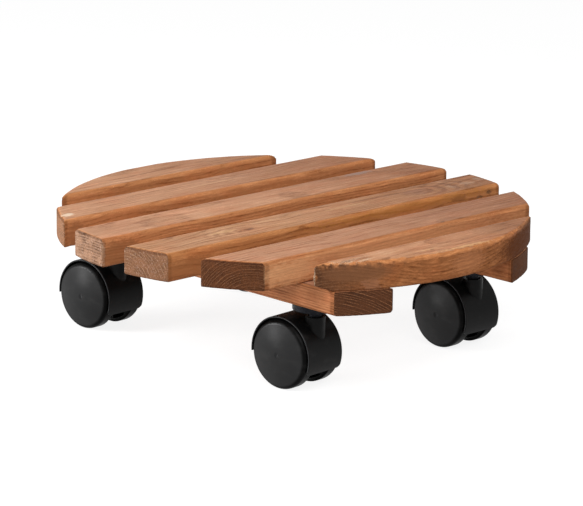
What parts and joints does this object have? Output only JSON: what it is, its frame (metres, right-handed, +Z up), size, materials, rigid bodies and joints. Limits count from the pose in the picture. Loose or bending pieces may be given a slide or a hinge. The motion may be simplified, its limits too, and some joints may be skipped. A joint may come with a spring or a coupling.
{
  "type": "plant caddy",
  "caption": "Round slatted wooden plant caddy: spaced boards screwed to battens, rolling on swivelling black twin-wheel casters.",
  "frame": {"origin": "on the floor, under the middle of the round top", "axes": "+Z up, +X along the boards to the right, +Y along the battens to the back"},
  "size_m": [0.2994, 0.3, 0.0871],
  "materials": {
    "slat_wood": "brown-stained softwood, satin",
    "batten_wood": "brown-stained softwood, satin",
    "zinc_steel": "zinc plated",
    "dark_steel": "blackened, satin",
    "hood_plastic": "black satin",
    "wheel_plastic": "black matt"
  },
  "bodies": {
    "deck": {"slat_1": "slat_wood", "slat_2": "slat_wood", "slat_3": "slat_wood", "slat_4": "slat_wood", "slat_5": "slat_wood", "slat_6": "slat_wood", "left_batten": "batten_wood", "right_batten": "batten_wood", "slat_screws": "zinc_steel", "thread_inserts": "zinc_steel", "front_left_stem": "dark_steel", "front_left_ring": "zinc_steel", "front_right_stem": "dark_steel", "front_right_ring": "zinc_steel", "back_left_stem": "dark_steel", "back_left_ring": "zinc_steel", "back_right_stem": "dark_steel", "back_right_ring": "zinc_steel"},
    "front_left_fork": {"front_left_hood": "hood_plastic", "front_left_axle": "zinc_steel"},
    "front_left_left_roller": {"front_left_wheel_left": "wheel_plastic"},
    "front_left_right_roller": {"front_left_wheel_right": "wheel_plastic"},
    "front_right_fork": {"front_right_hood": "hood_plastic", "front_right_axle": "zinc_steel"},
    "front_right_left_roller": {"front_right_wheel_left": "wheel_plastic"},
    "front_right_right_roller": {"front_right_wheel_right": "wheel_plastic"},
    "back_left_fork": {"back_left_hood": "hood_plastic", "back_left_axle": "zinc_steel"},
    "back_left_left_roller": {"back_left_wheel_left": "wheel_plastic"},
    "back_left_right_roller": {"back_left_wheel_right": "wheel_plastic"},
    "back_right_fork": {"back_right_hood": "hood_plastic", "back_right_axle": "zinc_steel"},
    "back_right_left_roller": {"back_right_wheel_left": "wheel_plastic"},
    "back_right_right_roller": {"back_right_wheel_right": "wheel_plastic"}
  },
  "joints": [
    {"name": "front_left_swivel", "type": "hinge", "parent": "deck", "child": "front_left_fork", "pos_m": [-0.0688, -0.0922, 0.054], "axis": [0, 0, 1], "continuous": true},
    {"name": "front_left_left_roll", "type": "hinge", "parent": "front_left_fork", "child": "front_left_left_roller", "pos_m": [-0.07006, -0.07746, 0.0215], "axis": [0.9963, 0.0854, 0], "continuous": true},
    {"name": "front_left_right_roll", "type": "hinge", "parent": "front_left_fork", "child": "front_left_right_roller", "pos_m": [-0.07006, -0.07746, 0.0215], "axis": [0.9963, 0.0854, 0], "continuous": true},
    {"name": "front_right_swivel", "type": "hinge", "parent": "deck", "child": "front_right_fork", "pos_m": [0.0688, -0.0922, 0.054], "axis": [0, 0, 1], "continuous": true},
    {"name": "front_right_left_roll", "type": "hinge", "parent": "front_right_fork", "child": "front_right_left_roller", "pos_m": [0.06867, -0.0774, 0.0215], "axis": [1, 0.0087, 0], "continuous": true},
    {"name": "front_right_right_roll", "type": "hinge", "parent": "front_right_fork", "child": "front_right_right_roller", "pos_m": [0.06867, -0.0774, 0.0215], "axis": [1, 0.0087, 0], "continuous": true},
    {"name": "back_left_swivel", "type": "hinge", "parent": "deck", "child": "back_left_fork", "pos_m": [-0.0688, 0.0922, 0.054], "axis": [0, 0, 1], "continuous": true},
    {"name": "back_left_left_roll", "type": "hinge", "parent": "back_left_fork", "child": "back_left_left_roller", "pos_m": [-0.06983, 0.10697, 0.0215], "axis": [0.9976, 0.0698, 0], "continuous": true},
    {"name": "back_left_right_roll", "type": "hinge", "parent": "back_left_fork", "child": "back_left_right_roller", "pos_m": [-0.06983, 0.10697, 0.0215], "axis": [0.9976, 0.0698, 0], "continuous": true},
    {"name": "back_right_swivel", "type": "hinge", "parent": "deck", "child": "back_right_fork", "pos_m": [0.0688, 0.0922, 0.054], "axis": [0, 0, 1], "continuous": true},
    {"name": "back_right_left_roll", "type": "hinge", "parent": "back_right_fork", "child": "back_right_left_roller", "pos_m": [0.06803, 0.10698, 0.0215], "axis": [0.9986, 0.0523, 0], "continuous": true},
    {"name": "back_right_right_roll", "type": "hinge", "parent": "back_right_fork", "child": "back_right_right_roller", "pos_m": [0.06803, 0.10698, 0.0215], "axis": [0.9986, 0.0523, 0], "continuous": true}
  ]
}
